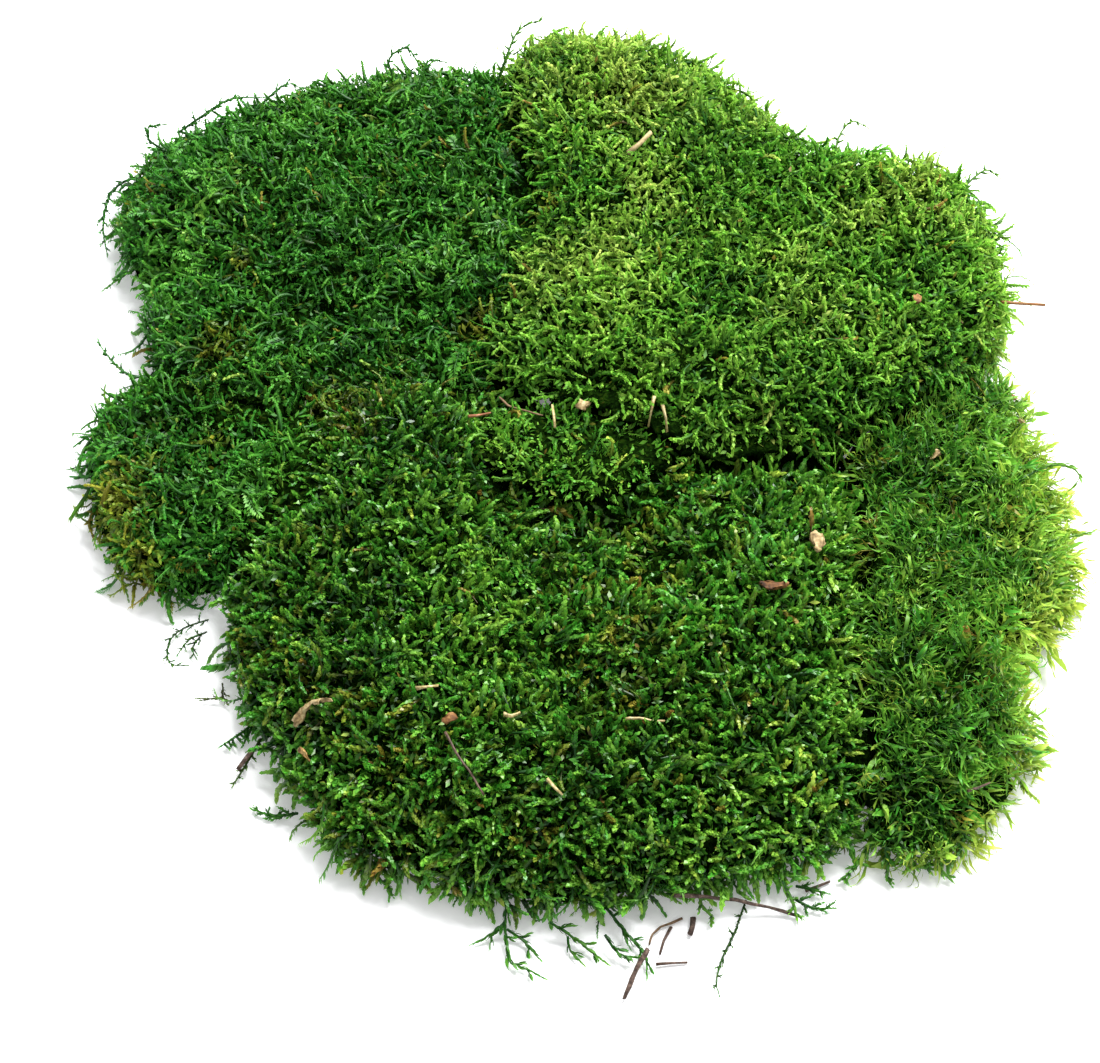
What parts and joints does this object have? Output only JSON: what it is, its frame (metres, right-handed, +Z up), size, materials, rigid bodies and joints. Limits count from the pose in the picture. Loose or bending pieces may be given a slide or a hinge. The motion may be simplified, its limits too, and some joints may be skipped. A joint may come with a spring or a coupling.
{
  "type": "moss clump",
  "caption": "Low heap of overlapping green sheet-moss pads, lying flat on the ground, with twigs, needles, straw and loose sprigs caught in them.",
  "frame": {"origin": "centre of the plan, on the ground that the heap lies on", "axes": "+Z up, +X to the right and +Y to the back as the picture shows it"},
  "size_m": [0.289, 0.335, 0.0463],
  "materials": {
    "cool_green_moss": "dense cool green feathery shoots, matt and slightly damp",
    "deep_green_moss": "short dense shoots, deep green with yellow-green tips",
    "bright_green_moss": "long tangled yellow-green shoots, thin and light at the rim",
    "leafy_moss": "larger pointed leaves, mid green, lime at the rim",
    "feathery_moss": "fine wavy light green fronds",
    "loose_sprigs": "loose single shoots, green, brown towards the base",
    "dead_twig": "dry brown twig, matt",
    "conifer_needle": "dead red-brown needle, slightly waxy",
    "dry_straw": "dry straw and pale stems, matt",
    "bark": "rough tan bark",
    "dry_leaf": "dry brown leaf scraps, matt"
  },
  "bodies": {
    "root": {"back_left_mat": "cool_green_moss", "left_lobe_mat": "cool_green_moss", "front_mat": "deep_green_moss", "top_right_mat": "bright_green_moss", "right_leafy_mat": "leafy_moss", "centre_tuft": "feathery_moss", "hanging_frond": "loose_sprigs", "middle_frond": "loose_sprigs", "front_frond": "loose_sprigs", "long_strand": "loose_sprigs", "right_sprig": "loose_sprigs", "left_fern_frond": "loose_sprigs", "left_strand": "loose_sprigs", "left_loop_frond": "loose_sprigs", "left_wiry_sprig": "loose_sprigs", "left_wisp": "loose_sprigs", "long_twig": "dead_twig", "left_twig": "dead_twig", "dark_stub": "dead_twig", "pale_stick": "dead_twig", "front_twig": "dead_twig", "red_twig": "dead_twig", "long_needle": "conifer_needle", "dark_needle": "conifer_needle", "brown_needle": "conifer_needle", "front_needle": "conifer_needle", "short_needle": "conifer_needle", "rust_needle": "conifer_needle", "straw_left": "dry_straw", "straw_right": "dry_straw", "pale_stem": "dry_straw", "dry_strand": "dry_straw", "tan_stem": "dry_straw", "thin_stem": "dry_straw", "bent_straw": "dry_straw", "splinter": "dry_straw", "pale_curl": "dry_straw", "bark_chip": "bark", "orange_chip": "bark", "rusty_chip": "bark", "dry_leaf": "dry_leaf", "brown_leaf": "dry_leaf", "leaf_flake": "dry_leaf", "pale_flake": "dry_leaf", "rusty_strip": "dry_leaf", "orange_flake": "dry_leaf", "brown_flake": "dry_leaf"}
  },
  "joints": []
}
